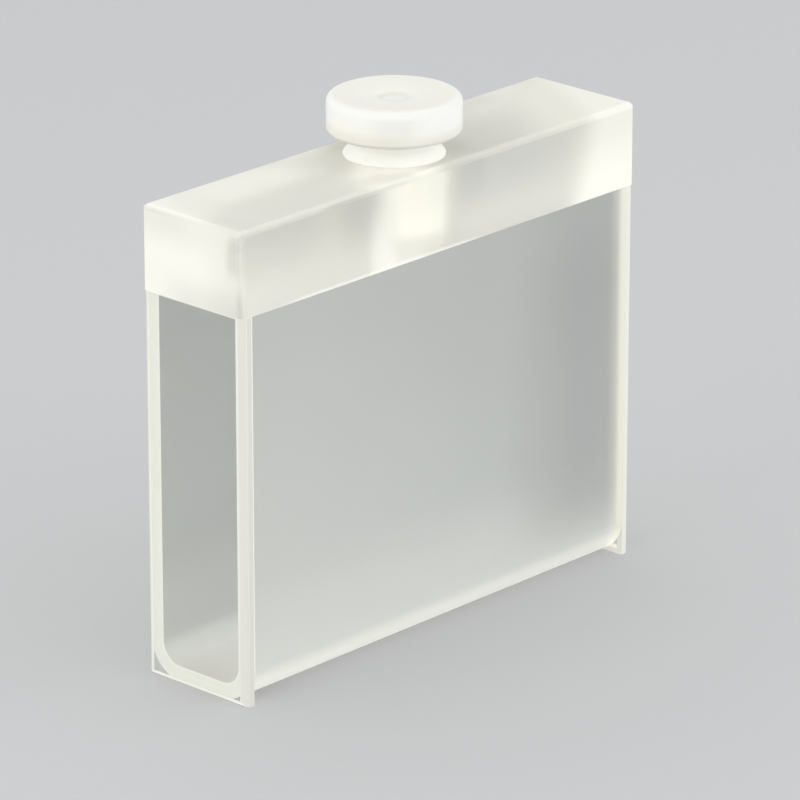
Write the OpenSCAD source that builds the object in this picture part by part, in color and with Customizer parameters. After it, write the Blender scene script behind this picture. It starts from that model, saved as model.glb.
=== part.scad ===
// Long-path spectroscopy cell with a push-in stopper.
// A U-shaped quartz trough is closed at each end by a polished window and on
// top by a bored block. The stopper's tapered plug seats in the block's bore.
// Millimetres. The origin is the middle of the base: +X runs along the light
// path, +Y across the cell and +Z up.

/* [Cell] */
// Inside length between the windows, which is the light path
path_length = 50; // [20:1:100]
// Outside width of the cell
cell_w = 12.5; // [10.2:0.1:24]
// Height from the base to the top of the block
cell_h = 45; // [20:1:80]

/* [Trough] */
// Thickness of the sides and the floor
wall_t = 1.5; // [0.8:0.05:2]
// Inside radius where the sides meet the floor
corner_r = 2; // [0.5:0.1:3]

/* [Windows] */
// Thickness of each window
window_t = 1.25; // [0.8:0.05:3]
// Bevel round the outer face of each window
window_bevel = 0.6; // [0.1:0.05:0.8]

/* [Top block] */
// Height of the block above the trough
block_h = 8; // [4:0.5:14]
// Bevel on the block's corners and top edges
block_bevel = 0.5; // [0.1:0.05:0.6]
// Bevel at the mouth of the bore
mouth_bevel = 0.15; // [0.05:0.05:0.3]

/* [Stopper plug] */
// Diameter of the plug where it enters the block
plug_d = 9.4; // [6:0.1:9.8]
// Diameter that the plug loses over each millimetre of depth
plug_taper = 0.15; // [0.05:0.01:0.2]
// Distance from the plug's end up from the block's underside
plug_end_gap = 0.9; // [0.3:0.1:2]
// Bevel round the plug's end
toe_bevel = 0.4; // [0.1:0.05:0.6]
// Gap between the plug and the bore, measured on the radius
seat_clearance = 0.02; // [0.01:0.01:0.05]

/* [Stopper head] */
// Diameter of the finger grip
head_d = 12.4; // [10:0.1:16]
// Thickness of the finger grip
head_t = 3.5; // [2.5:0.1:6]
// Gap for a fingernail between the block and the grip
grip_gap = 2; // [1.5:0.1:4]
// How far the neck under the grip is set in from the plug's thick end
neck_inset = 0.8; // [0.2:0.1:1.5]
// Height over which the plug's top narrows to the neck
shoulder_h = 0.9; // [0.4:0.05:1.2]
// Radius of the grip's upper edge
head_edge_r = 0.75; // [0.3:0.05:1]
// Bevel on the grip's lower edge
head_bevel = 0.35; // [0.1:0.05:0.6]

/* [Stopper dish] */
// Width of the plain rim round the dish on the grip
dish_rim = 0.5; // [0.3:0.1:2]
// Depth of the dish
dish_depth = 0.3; // [0.1:0.05:0.5]
// Diameter of the turning centre left in the dish
centre_d = 2.7; // [1:0.1:4]
// Depth of the turning centre below the dish
centre_depth = 0.2; // [0.1:0.05:0.5]

/* [Hidden] */

$fn = 96;
FINE = 360;     // segments of the dish's long, shallow arc
OVERCUT = 1;    // how far a cut runs past the face it opens

trough_h = cell_h - block_h;
cell_length = path_length + 2 * window_t;
chamber_w = cell_w - 2 * wall_t;
head_r = head_d / 2;
plug_length = block_h - plug_end_gap;
dish_r = head_r - head_edge_r - dish_rim;

// Radius of the plug at a depth below the top of the block.
function plug_r(depth) = (plug_d - plug_taper * depth) / 2;

// Radius of an arc that is depth deep over the half width half_w.
function arc_r(half_w, depth) = (half_w * half_w + depth * depth) / (2 * depth);

// Upright rectangle on the X axis, with its two lower corners rounded.
module round_foot(w, h, r) {
    translate([-w / 2, r]) square([w, h - r]);
    translate([r - w / 2, 0]) square([w - 2 * r, h]);
    for (side = [-1, 1])
        translate([side * (w / 2 - r), r]) circle(r);
}

// Rectangle centred on the origin, with every corner bevelled.
module bevelled_plan(w, h, bevel) {
    x = w / 2;
    y = h / 2;
    polygon([
        [x, bevel - y], [x, y - bevel], [x - bevel, y], [bevel - x, y],
        [-x, y - bevel], [-x, bevel - y], [bevel - x, -y], [x - bevel, -y]
    ]);
}

// Upright rectangle on the X axis, with its two upper corners bevelled.
module bevelled_top(w, h, bevel) {
    polygon([
        [-w / 2, 0], [w / 2, 0],
        [w / 2, h - bevel], [w / 2 - bevel, h],
        [bevel - w / 2, h], [-w / 2, h - bevel]
    ]);
}

// Runs an outline that is drawn across the cell (Y, Z) along the X axis.
module along_x(length) {
    rotate([90, 0, 90]) linear_extrude(height = length, center = true) children();
}

// Runs an outline that is drawn from the side (X, Z) along the Y axis.
module along_y(length) {
    rotate([90, 0, 0]) linear_extrude(height = length, center = true) children();
}

// U-shaped channel: two sides and a floor in one piece, open at both ends.
module trough() {
    color([0.80, 0.83, 0.82, 0.6])
    along_x(path_length)
    difference() {
        round_foot(cell_w, trough_h, corner_r + wall_t);
        translate([0, wall_t]) round_foot(chamber_w, trough_h, corner_r);
    }
}

// Flat window whose outer face looks towards +X. Its top is fused to the
// block, so only its two sides and its foot are bevelled.
module window() {
    inner_x = path_length / 2;
    outer_x = inner_x + window_t;
    side_y = cell_w / 2;
    intersection() {
        linear_extrude(height = trough_h)
        polygon([
            [inner_x, -side_y], [outer_x - window_bevel, -side_y],
            [outer_x, window_bevel - side_y], [outer_x, side_y - window_bevel],
            [outer_x - window_bevel, side_y], [inner_x, side_y]
        ]);
        along_y(cell_w)
        polygon([
            [inner_x, 0], [outer_x - window_bevel, 0], [outer_x, window_bevel],
            [outer_x, trough_h], [inner_x, trough_h]
        ]);
    }
}

module near_window() {
    color([0.90, 0.93, 0.92, 0.4]) mirror([1, 0, 0]) window();
}

module far_window() {
    color([0.90, 0.93, 0.92, 0.4]) window();
}

// Block with bevelled corners and top edges, and a tapered bore that opens
// into the trough.
module top_block() {
    color([0.93, 0.93, 0.90, 0.7])
    difference() {
        translate([0, 0, trough_h])
        intersection() {
            linear_extrude(height = block_h) bevelled_plan(cell_length, cell_w, block_bevel);
            along_x(cell_length) bevelled_top(cell_w, block_h, block_bevel);
            along_y(cell_w) bevelled_top(cell_length, block_h, block_bevel);
        }
        bore();
    }
}

// Tapered bore: the plug's own taper, run on past both faces of the block.
module bore() {
    mouth_r = plug_r(0) + seat_clearance;
    translate([0, 0, trough_h - OVERCUT])
        cylinder(h = block_h + 2 * OVERCUT,
                 r1 = plug_r(block_h + OVERCUT) + seat_clearance,
                 r2 = plug_r(-OVERCUT) + seat_clearance);
    translate([0, 0, cell_h - mouth_bevel])
        cylinder(h = mouth_bevel + OVERCUT, r1 = mouth_r, r2 = mouth_r + mouth_bevel + OVERCUT);
}

// Half section of the plug and neck, from the toe up into the grip. The
// radius is along X and the height above the block's top along Y.
module plug_section() {
    neck_r = plug_r(0) - neck_inset;
    polygon([
        [0, -plug_length],
        [plug_r(plug_length) - toe_bevel, -plug_length],
        [plug_r(plug_length - toe_bevel), toe_bevel - plug_length],
        [plug_r(0), 0],
        [neck_r, shoulder_h],
        [neck_r, grip_gap + head_t / 2],
        [0, grip_gap + head_t / 2]
    ]);
}

// Half section of the finger grip, before the dish is turned in its top.
module grip_section() {
    polygon([
        [0, 0], [head_r - head_bevel, 0], [head_r, head_bevel],
        [head_r, head_t - head_edge_r], [0, head_t - head_edge_r]
    ]);
    square([head_r - head_edge_r, head_t]);
    translate([head_r - head_edge_r, head_t - head_edge_r]) circle(head_edge_r);
}

// Half section of what is turned out of the grip's top: a shallow dish with
// a turning centre. Height is measured from the grip's top.
module dish_section() {
    sweep_r = arc_r(dish_r, dish_depth);
    translate([0, sweep_r - dish_depth])
        intersection() {
            circle(sweep_r, $fn = FINE);
            translate([0, -sweep_r]) square([head_r, 2 * dish_depth]);
        }
    polygon([
        [0, 0], [centre_d / 2, 0], [centre_d / 2, -dish_depth],
        [centre_d / 2 - centre_depth, -dish_depth - centre_depth],
        [0, -dish_depth - centre_depth]
    ]);
}

// Turned stopper: finger grip, neck and tapered plug in one piece.
module stopper() {
    color([0.96, 0.96, 0.93])
    translate([0, 0, cell_h])
    rotate_extrude()
    difference() {
        union() {
            plug_section();
            translate([0, grip_gap]) grip_section();
        }
        translate([0, grip_gap + head_t]) dish_section();
    }
}

trough();
near_window();
far_window();
top_block();
stopper();
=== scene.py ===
"""Finishes a stoppered quartz cell: ground and polished quartz, a turned stopper and a plain stage."""
import math

import bmesh
import bpy
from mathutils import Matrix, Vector


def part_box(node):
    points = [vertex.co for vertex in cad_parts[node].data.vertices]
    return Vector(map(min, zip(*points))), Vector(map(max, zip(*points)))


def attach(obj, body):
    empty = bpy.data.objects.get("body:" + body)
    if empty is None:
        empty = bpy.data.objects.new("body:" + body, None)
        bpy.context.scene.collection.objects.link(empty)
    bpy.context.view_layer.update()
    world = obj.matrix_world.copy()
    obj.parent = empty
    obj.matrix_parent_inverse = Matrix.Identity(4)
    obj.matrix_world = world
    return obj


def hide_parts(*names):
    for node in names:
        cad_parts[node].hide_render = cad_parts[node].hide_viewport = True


bl_info = {
    "name": "Stoppered Quartz Cell",
    "version": (1, 0, 0),
    "blender": (4, 5, 0),
    "location": "View3D > Sidebar > Cell",
    "description": "Builds and finishes a long-path quartz cell with its stopper",
    "category": "Object",
}

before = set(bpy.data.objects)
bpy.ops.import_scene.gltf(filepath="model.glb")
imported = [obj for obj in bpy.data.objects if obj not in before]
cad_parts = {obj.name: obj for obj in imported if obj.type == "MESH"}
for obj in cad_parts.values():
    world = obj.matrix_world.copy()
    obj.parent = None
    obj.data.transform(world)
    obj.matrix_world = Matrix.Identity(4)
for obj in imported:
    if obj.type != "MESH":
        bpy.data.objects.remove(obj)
MM = 0.001
BODY = "root"


# ---------------------------------------------------------------- settings

class CellSizes(bpy.types.PropertyGroup):
    """Sizes of the fine finish on the cell."""
    seam_gap: bpy.props.FloatProperty(
        name="Seam gap", description="Half the gap left where two quartz pieces meet",
        default=0.006 * MM, unit="LENGTH")
    edge_round: bpy.props.FloatProperty(
        name="Edge round", description="Width of the fine rounding on the quartz edges",
        default=0.05 * MM, unit="LENGTH")
    turned_round: bpy.props.FloatProperty(
        name="Turned round", description="Width of the rounding on the stopper's turned corners",
        default=0.10 * MM, unit="LENGTH")
    weld: bpy.props.FloatProperty(
        name="Weld distance", description="Corners closer than this become one",
        default=0.005 * MM, unit="LENGTH")
    corner_steps: bpy.props.IntProperty(
        name="Corner steps", description="Faces round each lower corner of the trough", default=24)
    turn_steps: bpy.props.IntProperty(
        name="Turn steps", description="Faces round the stopper", default=180)


class CellColours(bpy.types.PropertyGroup):
    """Colours of the cell's finishes."""
    clear: bpy.props.FloatVectorProperty(
        name="Clear quartz", description="Tint of the polished windows",
        default=(0.97, 0.985, 0.98), subtype="COLOR")
    satin: bpy.props.FloatVectorProperty(
        name="Satin quartz", description="Colour of the finely ground trough",
        default=(0.935, 0.97, 0.945), subtype="COLOR")
    # Painted shade: the trough's walls are blended towards this colour where shade is painted on them
    satin_shade: bpy.props.FloatVectorProperty(
        name="Dim quartz", description="Colour of the ground trough where it is dimmest",
        default=(0.48, 0.49, 0.48), subtype="COLOR")
    milky: bpy.props.FloatVectorProperty(
        name="Milky quartz", description="Colour of the ground top block",
        default=(0.975, 0.968, 0.88), subtype="COLOR")
    ground: bpy.props.FloatVectorProperty(
        name="Ground edge", description="Colour of coarse ground edges and bevels",
        default=(0.955, 0.95, 0.87), subtype="COLOR")
    # Painted light: the cream band at the far seam stands in for light coming out through the seam
    cream: bpy.props.FloatVectorProperty(
        name="Far seam", description="Colour of the cream band at the far seam",
        default=(0.93, 0.91, 0.76), subtype="COLOR")
    polymer: bpy.props.FloatVectorProperty(
        name="Stopper", description="Colour of the turned stopper",
        default=(0.965, 0.957, 0.885), subtype="COLOR")


class StageSettings(bpy.types.PropertyGroup):
    """Camera, floor and lights."""
    heading: bpy.props.FloatProperty(
        name="Heading", description="Direction that the camera looks, from +X towards +Y",
        default=math.radians(43.02), subtype="ANGLE")
    tilt: bpy.props.FloatProperty(
        name="Tilt", description="How far the camera looks down",
        default=math.radians(20.27), subtype="ANGLE")
    distance: bpy.props.FloatProperty(
        name="Distance", description="From the camera to the point it looks at",
        default=0.555, unit="LENGTH")
    lens: bpy.props.FloatProperty(
        name="Lens", description="Focal length, in millimetres", default=271.8)
    aim: bpy.props.FloatVectorProperty(
        name="Aim", description="Point that the camera looks at",
        default=(-0.13 * MM, -0.82 * MM, 21.2 * MM), unit="LENGTH")
    floor_colour: bpy.props.FloatVectorProperty(
        name="Floor", description="Colour of the floor", default=(0.62, 0.63, 0.64), subtype="COLOR")
    floor_size: bpy.props.FloatProperty(
        name="Floor size", description="Width of the floor", default=6.0, unit="LENGTH")


# ---------------------------------------------------------------- shader maths

class Wire:
    """A node's output that Python's own operators can do sums with."""

    def __init__(self, graph, socket):
        self.graph = graph
        self.socket = socket

    def sum(self, operation, *values):
        return self.graph.node("ShaderNodeMath", {"operation": operation}, dict(enumerate(values)))

    def __add__(self, other):
        return self.sum("ADD", self, other)

    __radd__ = __add__

    def __mul__(self, other):
        return self.sum("MULTIPLY", self, other)

    __rmul__ = __mul__

    def __sub__(self, other):
        return self.sum("SUBTRACT", self, other)

    def __rsub__(self, other):
        return self.sum("SUBTRACT", other, self)

    def __neg__(self):
        return self * -1

    def __abs__(self):
        return self.sum("ABSOLUTE", self)

    def __gt__(self, other):
        return self.sum("GREATER_THAN", self, other)

    def sine(self):
        return self.sum("SINE", self)

    def smooth(self, low, high):
        """0 below low and 1 above high, with a smooth step between."""
        settings = {"interpolation_type": "SMOOTHSTEP", "clamp": True}
        return self.graph.node("ShaderNodeMapRange", settings,
                               {"Value": self, "From Min": low, "From Max": high})

    def fade(self, low, high):
        """1 below low and 0 above high, with a smooth step between."""
        return 1 - self.smooth(low, high)

    def within(self, middle, full, none):
        """1 up to full away from middle, to either side, and 0 from none away."""
        return abs(self - middle).fade(full, none)


class Graph:
    """A node tree under construction."""

    def __init__(self, tree):
        self.tree = tree

    def node(self, kind, settings=None, inputs=None, output=0):
        """Adds a node. Settings come first, then the values or links of its sockets."""
        made = self.tree.nodes.new(kind)
        for name, value in (settings or {}).items():
            setattr(made, name, value)
        for key, value in (inputs or {}).items():
            if isinstance(value, Wire):
                self.tree.links.new(value.socket, made.inputs[key])
            elif hasattr(value, "__len__") and made.inputs[key].type == "RGBA":
                made.inputs[key].default_value = (*value, 1)
            else:
                made.inputs[key].default_value = value
        return Wire(self, made.outputs[output])

    def split(self, vector):
        """The three parts of a vector."""
        made = self.node("ShaderNodeSeparateXYZ", inputs={"Vector": vector})
        return [Wire(self, made.socket.node.outputs[k]) for k in range(3)]

    def join(self, x, y, z):
        """A vector of three parts."""
        return self.node("ShaderNodeCombineXYZ", inputs={"X": x, "Y": y, "Z": z})


class Recipe(Graph):
    """A Geometry Nodes tree under construction, with named sizes."""

    def __init__(self, name, takes_mesh=False):
        super().__init__(bpy.data.node_groups.new(name, "GeometryNodeTree"))
        self.values = {}
        self.tree.interface.new_socket("Mesh", in_out="OUTPUT", socket_type="NodeSocketGeometry")
        if takes_mesh:
            self.tree.interface.new_socket("Outline", in_out="INPUT", socket_type="NodeSocketGeometry")
        self.entry = self.tree.nodes.new("NodeGroupInput")

    def outline(self):
        return Wire(self, self.entry.outputs["Outline"])

    def size(self, name, value):
        """A named input of the tree."""
        kind = "NodeSocketInt" if isinstance(value, int) else "NodeSocketFloat"
        socket = self.tree.interface.new_socket(name, in_out="INPUT", socket_type=kind)
        self.values[socket.identifier] = value
        return Wire(self, self.entry.outputs[name])

    def coat(self, shape, material, where=None):
        """Gives a material to the faces picked by where, or to all."""
        inputs = {"Geometry": shape, "Material": material}
        if where is not None:
            inputs["Selection"] = where
        return self.node("GeometryNodeSetMaterial", inputs=inputs)

    def mesh(self, shape, outline=None):
        """Ends the tree with shape, runs it once and gives the plain mesh."""
        name = self.tree.name
        exit_node = self.tree.nodes.new("NodeGroupOutput")
        self.tree.links.new(shape.socket, exit_node.inputs[0])
        host = bpy.data.objects.new(name, outline or bpy.data.meshes.new(name))
        bpy.context.scene.collection.objects.link(host)
        modifier = host.modifiers.new(name, "NODES")
        modifier.node_group = self.tree
        for identifier, value in self.values.items():
            modifier[identifier] = value
        ready = host.evaluated_get(bpy.context.evaluated_depsgraph_get())
        made = bpy.data.meshes.new_from_object(ready)
        host.modifiers.clear()
        bpy.data.objects.remove(host)
        return made


class Finish(Graph):
    """A material under construction."""

    def __init__(self, name):
        self.material = bpy.data.materials.new(name)
        self.material.use_nodes = True
        super().__init__(self.material.node_tree)
        self.tree.nodes.clear()
        self.output = self.tree.nodes.new("ShaderNodeOutputMaterial")

    def place(self):
        """The point in the cell's own frame."""
        return self.node("ShaderNodeTexCoord", output="Object")

    def place_mm(self):
        """X, Y and Z in the cell's own frame, in millimetres."""
        return [part * (1 / MM) for part in self.split(self.place())]

    def from_axis(self, x, y):
        """Distance from the stopper's axis."""
        return self.node("ShaderNodeVectorMath", {"operation": "LENGTH"},
                         {0: self.join(x, y, 0)}, output="Value")

    def noise(self, grain, detail=2.0):
        """Soft random values near 0.5, with lumps about grain across."""
        return self.node("ShaderNodeTexNoise", {"noise_dimensions": "3D"},
                         {"Vector": self.place(), "Scale": 1 / grain, "Detail": detail})

    def blend(self, share, first, second):
        """A colour that runs from first to second as share runs from 0 to 1."""
        return self.node("ShaderNodeMix", {"data_type": "RGBA"}, {0: share, 6: first, 7: second}, output=2)

    def bump(self, height, depth):
        """Normals dented by height times depth."""
        return self.node("ShaderNodeBump", inputs={"Height": height, "Distance": depth, "Strength": 1.0})

    def mix_shader(self, share, first, second):
        return self.node("ShaderNodeMixShader", inputs={0: share, 1: first, 2: second})

    def let_light_in(self, shader, tint):
        """Lets lamps and stray light through the shader, straight and dimmed by tint."""
        clear = self.node("ShaderNodeBsdfTransparent", inputs={"Color": tint})
        stray = self.node("ShaderNodeLightPath", output="Is Diffuse Ray")
        lamp = self.node("ShaderNodeLightPath", output="Is Shadow Ray")
        return self.mix_shader(lamp, self.mix_shader(stray, shader, clear), clear)

    def done(self, shader):
        self.tree.links.new(shader.socket, self.output.inputs["Surface"])
        return self.material


QUARTZ_IOR = 1.46
POLYMER_IOR = 1.35

# These heights and the places in the finishes below are in millimetres. The near end is at -X.
BLOCK_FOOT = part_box("top_block")[0][2] / MM
PLUG_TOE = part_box("stopper")[0][2] / MM
GRIP_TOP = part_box("stopper")[1][2] / MM
TURNING_PITCH = 0.22

# Grain sizes and dent depths, in metres
COARSE_GRAIN = 0.12 * MM
FINE_GRAIN = 0.15 * MM
BORE_GRAIN = 0.20 * MM
COARSE_DENT = 0.010 * MM
FINE_DENT = 0.004 * MM
TURNING_DENT = 0.002 * MM

# Colours of small patches
GRIME = (0.2, 0.2, 0.2)
FLOOR_FAR = (0.955, 0.93, 0.925)
FLOOR_NEAR = (0.87, 0.83, 0.82)
# The block's cloudy colour, and the colour that its painted shade darkens it towards
BLOCK_PALE = (0.98, 0.975, 0.935)
BLOCK_SHADED = (0.70, 0.70, 0.67)
POLYMER_SHADE = (0.84, 0.82, 0.73)
NO_LIGHT = (0, 0, 0)


def toned(colour, tone):
    """A colour made darker: each of its parts times tone."""
    return [part * tone for part in colour]


def clear_quartz(colours):
    """Polished quartz: colourless and see-through, with a ground border on its fused face.

    The border is wider on the far window."""
    f = Finish("clear_quartz")
    haze = f.noise(6 * MM)
    x, y, z = f.place_mm()
    wider = x * 0.006
    border = (abs(y) + wider).smooth(5.75, 5.85) + (z - wider).fade(0.35, 0.45)
    glass = f.node("ShaderNodeBsdfPrincipled", inputs={
        "Base Color": colours.clear, "Roughness": haze * 0.02, "IOR": QUARTZ_IOR,
        "Transmission Weight": 1.0})
    grain = f.noise(COARSE_GRAIN)
    ground = f.node("ShaderNodeBsdfPrincipled", inputs={
        "Base Color": colours.ground, "Roughness": 0.42 + grain * 0.2, "IOR": QUARTZ_IOR,
        "Normal": f.bump(grain, COARSE_DENT)})
    return f.done(f.let_light_in(f.mix_shader(border, glass, ground), (0.97, 0.97, 0.96)))


def ground_quartz(name, colours, tone=1.0, glow=0.0, thin=True, faint=None):
    """Coarse ground quartz, white and opaque. With tone below 1 it is painted darker towards the near end, as
    painted shade, so it is a little whiter at the far end.

    Glow is a painted glow: emission that stands in for light that ran through the quartz to the ground face.
    thin lets light through the face. faint(x, y, z) is 1 where shade is painted on the face."""
    f = Finish(name)
    grain = f.noise(COARSE_GRAIN)
    x, y, z = f.place_mm()
    base = f.blend(x.smooth(-10, 20), toned(colours.ground, tone), colours.ground)
    if faint:
        base = f.blend(faint(x, y, z), base, toned(colours.ground, 0.84))
    frost = f.node("ShaderNodeBsdfPrincipled", inputs={
        "Base Color": f.blend(grain * 0.05, base, GRIME),
        "Roughness": 0.42 + grain * 0.2, "IOR": QUARTZ_IOR, "Normal": f.bump(grain, COARSE_DENT),
        "Emission Color": colours.ground, "Emission Strength": glow})
    return f.done(f.let_light_in(frost, (0.92, 0.92, 0.9)) if thin else frost)


def dim_edges(x, y, z):
    """Where shade is painted on the block's edges, making them dimmer: before the plug, and at the near
    corner.
    """
    plug = x.within(-4.5, 2.5, 6) * y.fade(-6, -5)
    corner = y.fade(-6.5, -3) * (0.5 - (z - BLOCK_FOOT).smooth(0, 5) * 0.4)
    return plug + x.fade(-26, -25.5) * (corner + 0.5)


def bore_quartz(colours):
    """Ground wall of the bore. Straight on it shows the white plug, with a painted glow standing in for the
    lit plug; seen aslant it turns glassy.

    It is glassier on its far side, which paints its near side lighter. Below the plug's toe its white and its
    glow are painted darker."""
    f = Finish("bore_quartz")
    grain = f.noise(BORE_GRAIN)
    x, _, z = f.place_mm()
    plug = (z - PLUG_TOE).smooth(0.1, 0.9)
    white = f.node("ShaderNodeBsdfPrincipled", inputs={
        "Base Color": f.blend(plug, toned(colours.milky, 0.92), colours.milky),
        "Roughness": 0.45 + grain * 0.1, "IOR": QUARTZ_IOR, "Normal": f.bump(grain, FINE_DENT),
        "Emission Color": f.blend(plug, toned(colours.ground, 0.4), colours.ground),
        "Emission Strength": 0.29})
    glassy = f.node("ShaderNodeBsdfPrincipled", inputs={
        "Base Color": colours.milky, "Roughness": 0.3 + grain * 0.1, "IOR": QUARTZ_IOR,
        "Transmission Weight": 0.8})
    aslant = f.node("ShaderNodeLayerWeight", inputs={"Blend": 0.5}, output="Facing")
    glassy_share = (aslant + x * 0.03).smooth(0.26, 0.7)
    return f.done(f.let_light_in(f.mix_shader(glassy_share, white, glassy), (0.95, 0.94, 0.90)))


def satin_quartz(colours):
    """Finely ground quartz, as on the trough's walls. Painted light turns it milky and bright towards the
    floor and the far end, and painted shade darkens its walls.
    """
    f = Finish("satin_quartz")
    grain = f.noise(FINE_GRAIN)
    drift = f.noise(14 * MM, detail=1.0)
    bump = f.bump(grain, FINE_DENT)
    x, y, z = f.place_mm()
    facing = f.split(f.node("ShaderNodeNewGeometry", output="Normal"))[2]

    # Parts of the trough: its inner walls, its floor, its underside, its foot and its far seam
    inner = abs(y).fade(4.9, 5.2)
    floor = facing.smooth(0.6, 0.95)
    under = (-facing).smooth(0, 0.9)
    foot = z.fade(2.0, 3.3) * facing.fade(0, 0.2)
    seam = x.smooth(23.6, 24.7)

    # Painted shade on the walls, darker at the far end, high up and inside; drift adds random tone
    far_shade = x.smooth(7, 19.5) * z.smooth(1.2, 8.4) * (1 - z.smooth(28, 37) * 0.25)
    inside = inner * (z.smooth(0.6, 4.6) * 0.78 + z.smooth(7, 13) * 0.22)
    shade = far_shade * 0.56 + z.smooth(13, 33) * 0.13 + inside * 0.84 + drift * 0.05
    walls = f.blend(shade, colours.satin, colours.satin_shade)
    warm_floor = f.blend((-x).smooth(18, 25), FLOOR_FAR, FLOOR_NEAR)
    rough = grain * 0.1 + floor * 0.3
    satin = f.node("ShaderNodeBsdfPrincipled", inputs={
        "Base Color": f.blend(floor * 0.9, walls, warm_floor), "Roughness": 0.35 + rough,
        "IOR": QUARTZ_IOR, "Transmission Weight": 0.7, "Normal": bump})
    # Painted light: the cream band at the far seam, and a painted glow on the underside and foot
    milky = f.node("ShaderNodeBsdfPrincipled", inputs={
        "Base Color": f.blend(seam, colours.ground, colours.cream), "Roughness": 0.4 + rough,
        "IOR": QUARTZ_IOR, "Normal": bump,
        "Emission Color": f.blend(under + foot * 0.08, NO_LIGHT, colours.ground), "Emission Strength": 0.42})

    # How milky and bright it is, as painted light: more at the near end, low down, at the foot and at the far
    # seam
    near = x.fade(-32, 24) * (0.12 - inner * z.smooth(28, 34) * 0.08)
    share = near + z.fade(0, 14) * 0.12 + foot * 0.38 + seam
    return f.done(f.let_light_in(f.mix_shader(share, satin, milky), (0.88, 0.88, 0.87)))


def milky_quartz(colours):
    """Ground quartz block: light goes in and spreads before it comes out. That light is painted on, as white
    patches and a painted glow, and so is its shade.
    """
    f = Finish("milky_quartz")
    grain = f.noise(FINE_GRAIN)
    drift = f.noise(7 * MM, detail=1.0)
    bump = f.bump(grain, FINE_DENT)
    x, y, z = f.place_mm()
    up = z - BLOCK_FOOT
    radius = f.from_axis(x, y)

    # Parts of the block: its ends, its long sides, its top and upper bevels, and low and high on a side
    end = abs(x).smooth(25.7, 26.2)
    side = abs(y).smooth(5.9, 6.2)
    top = up.smooth(7.3, 8)
    bevel = up.smooth(7.4, 7.6) * up.fade(7.9, 8)
    low = up.fade(0, 3.5)
    high = up.smooth(1, 7)

    # How far a place lies past the leaning border of the far end, which is painted white and glowing as
    # painted light
    lean = x - (up - 2) * 0.31 - (y + 6.25) * 0.55 - top * 0.3

    # Painted light and painted shade round the stopper, on the top
    ring = top * radius.fade(5.4, 6.8) * y.fade(-4, -1) * x.fade(-4, 0.5)
    ridge = top * radius.smooth(5.8, 7.5) * radius.fade(8.5, 11) * y.fade(-4.2, -2.5) * (-x).smooth(2, 4)

    # Painted shade, with drift's random tone, on the ends, the bevels, the top and the long sides
    smear = y.within(-5.2, 0.2, 1.2) * up.within(5.4, 0.5, 2.4)
    shade_and_drift = end * (y.fade(-7, 0) * 0.45 + low * y.fade(0, 5) * 0.45
                  + up.smooth(4, 7) * y.smooth(-6, 3) * 0.38 + smear * 0.5)
    shade_and_drift = shade_and_drift + end * (-y).smooth(4.4, 5.4) * up.smooth(5.8, 6.6) * (0.3 - bevel * 0.3)
    shade_and_drift = shade_and_drift + bevel * end * (0.12 + y.smooth(-1, 5) * 0.25)
    shade_and_drift = shade_and_drift + bevel * side * x.within(-10.5, 3.5, 6.5) * 0.9
    shade_and_drift = shade_and_drift + (-x).smooth(25.4, 25.8) * (-y).smooth(5.5, 5.8) * low * 0.4
    shade_and_drift = shade_and_drift + top * radius.fade(5, 17) * x.smooth(-3, 3) * 0.6
    shade_and_drift = shade_and_drift + ridge * 0.45
    shade_and_drift = shade_and_drift + top * y.smooth(2, 5) * x.within(14, 2, 6) * 0.4
    shade_and_drift = shade_and_drift + top * radius.fade(5, 8) * (x + y).smooth(-3, 2) * 0.5
    shade_and_drift = shade_and_drift + top * (-x).smooth(22, 25) * y.fade(-3, 1) * 0.3
    beside = x.within(-10.7, 1, 4) + x.within(3.6, 0.5, 3)
    shade_and_drift = shade_and_drift + side * high * beside * 0.3
    shade_and_drift = shade_and_drift + side * high * 0.5 * (1 - lean.smooth(15, 19) * 0.5) + drift * 0.08

    # Painted glow where light comes out: the painted white far end, the ring, the seam, and the plug's light
    # to its left
    seam = side * up.fade(0.15, 0.4) * x.within(-8, 10, 14)
    spill = side * x.within(-8.1, 0.4, 2.6) * (1 - up.smooth(5, 7.4) * 0.7)
    pool = side * x.within(-4.8, 1, 3.4) * up.fade(0.4, 2.4)
    glow = lean.smooth(15.5, 20) * side * (1 - high * 0.45)
    glow = glow + ring * 0.5 + seam * 0.3 + spill * 0.8 + pool * 0.5

    cloudy = f.node("ShaderNodeBsdfPrincipled", inputs={
        "Base Color": f.blend(shade_and_drift, BLOCK_PALE, BLOCK_SHADED), "Roughness": 0.42 + grain * 0.1,
        "IOR": QUARTZ_IOR, "Transmission Weight": 0.8, "Normal": bump})
    white = f.node("ShaderNodeBsdfPrincipled", inputs={
        "Base Color": f.blend(shade_and_drift, colours.milky, toned(colours.milky, 0.72)),
        "Roughness": 0.4 + grain * 0.1, "IOR": QUARTZ_IOR, "Normal": bump,
        "Emission Color": f.blend(glow, NO_LIGHT, colours.milky), "Emission Strength": 0.13})

    # How white it is, partly the block's own milkiness and partly painted light: the far end, the near end,
    # the lit places, the top and the long sides
    near = (-x).smooth(21, 29) * (0.35 + y.smooth(-5, 2) * 0.65)
    back = y.smooth(-1, 2) * (1 - y.smooth(3.5, 6.5) * 0.7) * x.within(-16, 3, 9)
    share = lean.smooth(15.7, 20.7) + near + end
    share = share + ring * 0.4 + ridge * 0.3 + seam * 0.8 + spill * 0.6 + pool * 0.4
    share = share + top * (0.3 + y.smooth(0, 6) * 0.2 + back * 0.45)
    share = share + side * (1 - high) * (0.05 + (-x).smooth(2, 12) * 0.35)
    return f.done(f.let_light_in(f.mix_shader(share, cloudy, white), (0.95, 0.94, 0.90)))


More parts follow.
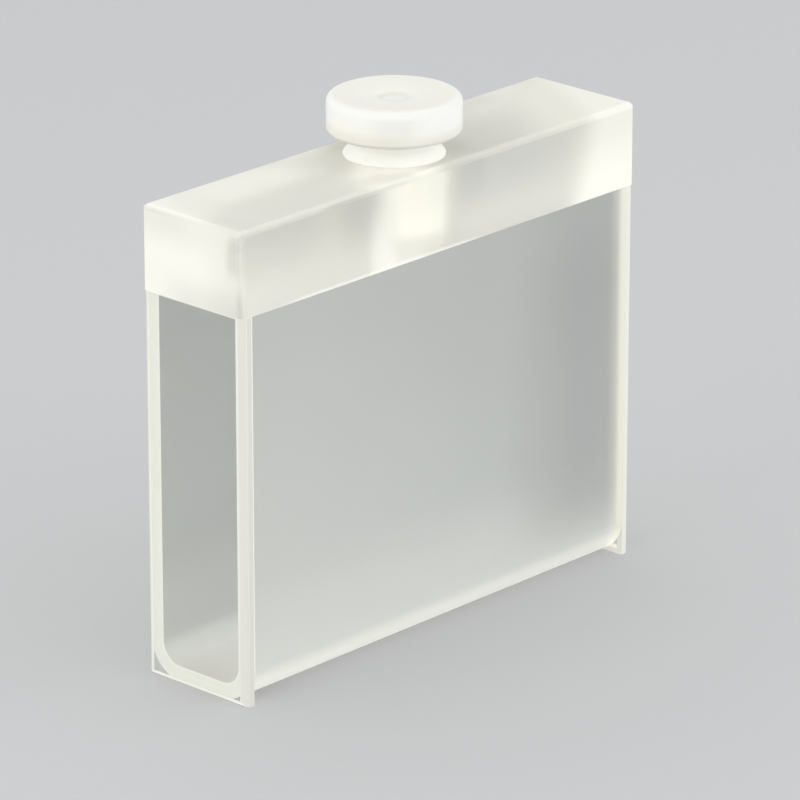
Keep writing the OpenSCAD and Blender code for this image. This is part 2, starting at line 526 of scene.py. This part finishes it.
def white_polymer(colours):
    """Waxy white fluoropolymer with fine turning rings."""
    f = Finish("white_polymer")
    x, y, z = f.place_mm()
    radius = f.from_axis(x, y)
    rings = ((radius + z) * (2 * math.pi / TURNING_PITCH)).sine()
    cloud = f.noise(3 * MM)

    # Where light comes out: the neck, and the grip's side over the near edge of the block
    neck = z.fade(46, 47.3)
    lit = z.smooth(47.5, 48.8) * z.fade(49.5, 50.2)
    lit = lit * ((-y).smooth(4.9, 6) * 0.75 + (-x).smooth(5, 6) * 0.4)
    glow = neck * (0.67 + (-y).smooth(2.5, 4) * 0.33) + lit

    # Where it is shaded: low on the grip, at its lower lip, in the dish and round the turning centre
    low = z.fade(47.5, 49.6) * z.smooth(46, 47.3) * (0.4 - (-y).smooth(4, 6) * 0.3)
    lip = z.fade(47.6, 48.6) * z.smooth(47.25, 47.4)
    dish = radius.smooth(1.5, 4.7) * radius.fade(5.4, 5.8) * 0.35 + radius.within(1.25, 0.1, 0.3)
    dish = dish * (z - GRIP_TOP).smooth(-0.6, -0.4)
    shade = low + lip * 0.25 + dish + cloud * 0.1
    return f.done(f.node("ShaderNodeBsdfPrincipled", inputs={
        "Base Color": f.blend(shade, colours.polymer, POLYMER_SHADE),
        "Roughness": 0.54 + cloud * 0.1, "IOR": POLYMER_IOR,
        "Subsurface Weight": 1.0, "Subsurface Radius": (1.0, 0.95, 0.85), "Subsurface Scale": 0.35 * MM,
        "Emission Color": f.blend(glow, NO_LIGHT, colours.polymer), "Emission Strength": 0.12,
        "Normal": f.bump(rings, TURNING_DENT)}))


# ---------------------------------------------------------------- mesh work

TINY = 0.01 * MM
SAME_WAY = 0.999                # two normals this much alike count as one
SHRINK_ROUNDS = 12
FLAT = 0.9998                   # the part of a normal along an axis, where a face is square to it
LEANING = 0.2                   # the same part of a normal on the trough's rounded end edges
SQUARE_ON = 0.95                # and on its end faces
MERGE_ANGLE = math.radians(0.5)
SHARP_ANGLE = math.radians(30)
BLUNT_ANGLE = math.radians(155)  # a turned corner wider than this belongs to a curve
EASE_START = 1.7                # where a turned corner's rounding starts, in shares of its reach
EASE_TUCK = 0.25                # how far the rounding cuts the corner


def welded_copy(node, sizes):
    """A clean bmesh of a CAD node: corners welded and flat faces whole."""
    shape = bmesh.new()
    shape.from_mesh(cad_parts[node].data)
    bmesh.ops.remove_doubles(shape, verts=shape.verts, dist=sizes.weld)
    bmesh.ops.dissolve_limit(shape, angle_limit=MERGE_ANGLE, verts=shape.verts, edges=shape.edges)
    shape.normal_update()
    return shape


def shrink(shape, gap):
    """Moves every face inwards by gap."""
    moved = {}
    for corner in shape.verts:
        normals = []
        for face in corner.link_faces:
            if all(face.normal.dot(n) < SAME_WAY for n in normals):
                normals.append(face.normal.copy())
        step = Vector()
        for n in normals * SHRINK_ROUNDS:
            step -= n * (gap + step.dot(n))
        moved[corner] = step
    for corner, step in moved.items():
        corner.co += step
    shape.normal_update()


def add_piece(name, node, mesh):
    """Puts a finished mesh in the scene in place of a CAD node."""
    piece = bpy.data.objects.new(name, mesh)
    bpy.context.scene.collection.objects.link(piece)
    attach(piece, BODY)
    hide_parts(node)
    return piece


def eased_piece(name, node, materials, choose, sizes):
    """A CAD node with fine rounding on its sharp edges. choose(face) gives a face's material number.

    The rounding takes the last material."""
    shape = welded_copy(node, sizes)
    shrink(shape, sizes.seam_gap)
    sharp = {e for e in shape.edges if e.calc_face_angle() > SHARP_ANGLE}
    for face in shape.faces:
        face.material_index = choose(face)
        face.smooth = not sharp.issuperset(face.edges)
    made = bmesh.ops.bevel(shape, geom=list(sharp), offset=sizes.edge_round, offset_type="OFFSET", segments=2,
                           profile=0.5, affect="EDGES", clamp_overlap=True, material=len(materials) - 1)
    for face in made["faces"]:
        face.smooth = True
    mesh = bpy.data.meshes.new(name)
    for material in materials:
        mesh.materials.append(material)
    shape.to_mesh(mesh)
    shape.free()
    return add_piece(name, node, mesh)


def swept_trough(sizes, walls, ends, seams):
    """The trough: its wall's outline runs along the U and gives one piece."""
    low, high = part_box("trough")
    corners = [v.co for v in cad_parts["trough"].data.vertices]
    wall_t = high[1] - min(abs(c.y) for c in corners if c.z > high[2] - TINY)
    outer_r = min(c.z for c in corners if c.y > high[1] - TINY)
    r = Recipe("swept_trough")
    length = r.size("Length", high[0] - low[0] - 2 * sizes.seam_gap)
    width = r.size("Width", high[1] - low[1])
    height = r.size("Height", high[2] - sizes.seam_gap)
    wall = r.size("Wall", wall_t)
    corner = r.size("Corner radius", outer_r - wall_t / 2)
    edge = r.size("Edge round", sizes.edge_round)
    steps = r.size("Corner steps", sizes.corner_steps)
    side, foot = (width - wall) * 0.5, wall * 0.5
    line = r.node("GeometryNodeCurvePrimitiveQuadrilateral", {"mode": "POINTS"}, {
        "Point 1": r.join(0, side, height), "Point 2": r.join(0, side, foot),
        "Point 3": r.join(0, -side, foot), "Point 4": r.join(0, -side, height)})
    line = r.node("GeometryNodeSetSplineCyclic", inputs={"Geometry": line, "Cyclic": False})
    line = r.node("GeometryNodeFilletCurve", {"mode": "POLY"},
                  {"Curve": line, "Radius": corner, "Count": steps})
    section = r.node("GeometryNodeCurvePrimitiveQuadrilateral", {"mode": "RECTANGLE"},
                     {"Width": length, "Height": wall})
    section = r.node("GeometryNodeFilletCurve", {"mode": "POLY"},
                     {"Curve": section, "Radius": edge, "Count": 3})
    shape = r.node("GeometryNodeCurveToMesh",
                   inputs={"Curve": line, "Profile Curve": section, "Fill Caps": True})
    shape = r.node("GeometryNodeRealizeInstances", inputs={"Geometry": shape})
    endways = abs(r.split(r.node("GeometryNodeInputNormal"))[0])
    shape = r.coat(shape, walls)
    shape = r.coat(shape, seams, endways > LEANING)
    shape = r.coat(shape, ends, endways > SQUARE_ON)
    return r.mesh(shape)


def turned_outline(node, round_by):
    """Half section of a turned CAD solid as points (radius, height), from the lower centre to the upper.

    Sharp corners are eased over round_by."""
    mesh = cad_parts[node].data
    rings, ring_of = [], []
    for v in mesh.vertices:
        point = Vector((v.co.xy.length, v.co.z))
        k = next((k for k, known in enumerate(rings) if (known - point).length < TINY), len(rings))
        if k == len(rings):
            rings.append(point)
        ring_of.append(k)
    beside = [set() for _ in rings]
    for edge in mesh.edges:
        a, b = (ring_of[v] for v in edge.vertices)
        if a != b:
            beside[a].add(b)
            beside[b].add(a)
    here = min(range(len(rings)), key=lambda k: rings[k].y)
    walk = [here]
    while steps := beside[here] - set(walk):
        here = min(steps, key=lambda k: (rings[k] - rings[here]).length)
        walk.append(here)
    line = [Vector((0, rings[walk[0]].y))] + [rings[k] for k in walk] + [Vector((0, rings[walk[-1]].y))]
    eased = line[:1]
    for before, corner, after in zip(line, line[1:], line[2:]):
        back, on = before - corner, after - corner
        if back.angle(on) > BLUNT_ANGLE:
            eased.append(corner)
            continue
        reach = min(round_by, back.length / 4, on.length / 4)
        back.normalize()
        on.normalize()
        eased += [corner + back * reach * EASE_START, corner + back * reach]
        eased += [corner + (back + on) * reach * EASE_TUCK]
        eased += [corner + on * reach, corner + on * reach * EASE_START]
    return eased + line[-1:]


def turned_stopper(sizes, material):
    """The stopper: its half section runs round the axis."""
    points = turned_outline("stopper", sizes.turned_round)
    outline = bpy.data.meshes.new("stopper_outline")
    steps_along = [(k, k + 1) for k in range(len(points) - 1)]
    outline.from_pydata([(p.x, 0, p.y) for p in points], steps_along, [])
    r = Recipe("turned_stopper", takes_mesh=True)
    hoop_r = r.size("Hoop radius", 1 * MM)
    weld = r.size("Weld distance", sizes.weld)
    steps = r.size("Turn steps", sizes.turn_steps)
    section = r.node("GeometryNodeMeshToCurve", inputs={"Mesh": r.outline()})
    radius, _, height = r.split(r.node("GeometryNodeInputPosition"))
    section = r.node("GeometryNodeSetPosition", inputs={
        "Geometry": section, "Position": r.join(radius - hoop_r, -height, 0)})
    hoop = r.node("GeometryNodeCurvePrimitiveCircle", {"mode": "RADIUS"},
                  {"Resolution": steps, "Radius": hoop_r})
    shape = r.node("GeometryNodeCurveToMesh", inputs={"Curve": hoop, "Profile Curve": section})
    shape = r.node("GeometryNodeMergeByDistance", inputs={"Geometry": shape, "Distance": weld})
    shape = r.node("GeometryNodeFlipFaces", inputs={"Mesh": shape})
    shape = r.node("GeometryNodeRealizeInstances", inputs={"Geometry": shape})
    return r.mesh(r.coat(shape, material), outline)


# ---------------------------------------------------------------- operators

class CELL_OT_trough(bpy.types.Operator):
    """Makes the trough: satin walls, coarse ground ends and seams brightened by a painted glow."""
    bl_idname = "cell.trough"
    bl_label = "Trough"

    def execute(self, context):
        sizes, colours = context.scene.cell_sizes, context.scene.cell_colours
        walls = satin_quartz(colours)
        ends = ground_quartz("trough_ends", colours, thin=False)
        seams = ground_quartz("trough_seams", colours, glow=0.15)
        mesh = swept_trough(sizes, walls, ends, seams)
        for face in mesh.polygons:
            face.use_smooth = max(abs(n) for n in face.normal) < FLAT
        add_piece("trough_walls", "trough", mesh)
        return {"FINISHED"}


class CELL_OT_windows(bpy.types.Operator):
    """Finishes both windows: polished faces, ground sides and edges toned darker towards the near end as
    painted shade, and a foot brightened by a painted glow.
    """
    bl_idname = "cell.windows"
    bl_label = "Windows"

    def execute(self, context):
        sizes, colours = context.scene.cell_sizes, context.scene.cell_colours
        finishes = [
            clear_quartz(colours), ground_quartz("plate_sides", colours, tone=0.86),
            ground_quartz("plate_foot", colours, glow=0.28), ground_quartz("plate_edges", colours, tone=0.92)]

        def choose(face):
            polished, sides, foot = 0, 1, 2
            if abs(face.normal.x) > 0.9:
                return polished
            return foot if face.normal.z < -0.5 else sides

        for node in ("near_window", "far_window"):
            eased_piece(node + "_plate", node, finishes, choose, sizes)
        return {"FINISHED"}


class CELL_OT_block(bpy.types.Operator):
    """Finishes the top block."""
    bl_idname = "cell.block"
    bl_label = "Top block"

    def execute(self, context):
        sizes, colours = context.scene.cell_sizes, context.scene.cell_colours
        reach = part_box("stopper")[1][0]
        # The block's edges get a faint painted glow, and painted shade from dim_edges
        finishes = [milky_quartz(colours), bore_quartz(colours),
                    ground_quartz("block_edges", colours, glow=0.05, faint=dim_edges)]

        def choose(face):
            outside, bore = 0, 1
            upright = abs(face.normal.z) < 0.5
            return bore if upright and face.calc_center_median().xy.length < reach else outside

        eased_piece("block_body", "top_block", finishes, choose, sizes)
        return {"FINISHED"}


class CELL_OT_stopper(bpy.types.Operator):
    """Turns the stopper."""
    bl_idname = "cell.stopper"
    bl_label = "Stopper"

    def execute(self, context):
        sizes, colours = context.scene.cell_sizes, context.scene.cell_colours
        mesh = turned_stopper(sizes, white_polymer(colours))
        mesh.shade_smooth()
        add_piece("stopper_body", "stopper", mesh)
        return {"FINISHED"}


class CELL_OT_stage(bpy.types.Operator):
    """Sets up the floor, the lights and the camera."""
    bl_idname = "cell.stage"
    bl_label = "Stage"

    def execute(self, context):
        scene = context.scene
        stage = scene.cell_stage
        make_floor(stage)
        make_lights(scene)
        make_camera(scene, stage)
        scene.view_settings.view_transform = "Standard"
        return {"FINISHED"}


ROOM_LIGHT = 0.80
LAMPS = (   # name, place, width in metres, power in watts
    ("key", (-0.78, 0.05, 0.28), 0.55, 2.17),
    ("fill", (0.40, -0.68, 0.24), 0.8, 2.35),
)
LIT_POINT = Vector((0, 0, 0.025))
SENSOR_WIDTH = 36
NEAREST_SEEN = 0.01


def make_floor(stage):
    """A plain pale floor under the cell."""
    f = Finish("floor_paint")
    paint = f.node("ShaderNodeBsdfPrincipled", inputs={"Base Color": stage.floor_colour, "Roughness": 0.8})
    half = stage.floor_size / 2
    corners = [(-half, -half, 0), (half, -half, 0), (half, half, 0), (-half, half, 0)]
    mesh = bpy.data.meshes.new("floor")
    mesh.from_pydata(corners, [], [(0, 1, 2, 3)])
    mesh.materials.append(f.done(paint))
    floor = bpy.data.objects.new("floor", mesh)
    bpy.context.scene.collection.objects.link(floor)


def make_lights(scene):
    """Even light from all round and two soft lamps."""
    world = bpy.data.worlds.new("studio")
    world.use_nodes = True
    back = world.node_tree.nodes["Background"]
    back.inputs["Color"].default_value = (1, 1, 1, 1)
    back.inputs["Strength"].default_value = ROOM_LIGHT
    scene.world = world
    for name, spot, size, watts in LAMPS:
        light = bpy.data.lights.new(name, "AREA")
        light.shape = "SQUARE"
        light.size = size
        light.energy = watts
        lamp = bpy.data.objects.new(name, light)
        scene.collection.objects.link(lamp)
        lamp.location = spot
        lamp.rotation_euler = (LIT_POINT - Vector(spot)).to_track_quat("-Z", "Y").to_euler()


def make_camera(scene, stage):
    """The camera, level and turned towards the stage's aim."""
    camera = bpy.data.objects.new("camera", bpy.data.cameras.new("camera"))
    scene.collection.objects.link(camera)
    flat = math.cos(stage.tilt)
    looking = Vector((math.cos(stage.heading) * flat, math.sin(stage.heading) * flat, -math.sin(stage.tilt)))
    camera.location = Vector(stage.aim) - looking * stage.distance
    camera.rotation_euler = looking.to_track_quat("-Z", "Y").to_euler()
    camera.data.lens = stage.lens
    camera.data.sensor_width = SENSOR_WIDTH
    camera.data.clip_start = NEAREST_SEEN
    scene.camera = camera


STEPS = (CELL_OT_trough, CELL_OT_windows, CELL_OT_block, CELL_OT_stopper, CELL_OT_stage)


class CELL_PT_panel(bpy.types.Panel):
    """Lists the steps that build the cell."""
    bl_label = "Quartz cell"
    bl_space_type = "VIEW_3D"
    bl_region_type = "UI"
    bl_category = "Cell"

    def draw(self, context):
        for step in STEPS:
            self.layout.operator(step.bl_idname)


CLASSES = (CellSizes, CellColours, StageSettings, *STEPS, CELL_PT_panel)


def register():
    for made in CLASSES:
        bpy.utils.register_class(made)
    bpy.types.Scene.cell_sizes = bpy.props.PointerProperty(type=CellSizes)
    bpy.types.Scene.cell_colours = bpy.props.PointerProperty(type=CellColours)
    bpy.types.Scene.cell_stage = bpy.props.PointerProperty(type=StageSettings)


def unregister():
    del bpy.types.Scene.cell_sizes, bpy.types.Scene.cell_colours, bpy.types.Scene.cell_stage
    for made in reversed(CLASSES):
        bpy.utils.unregister_class(made)


def main():
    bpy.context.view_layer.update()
    register()
    for step in STEPS:
        group, name = step.bl_idname.split(".")
        getattr(getattr(bpy.ops, group), name)()


if __name__ == "__main__":
    main()
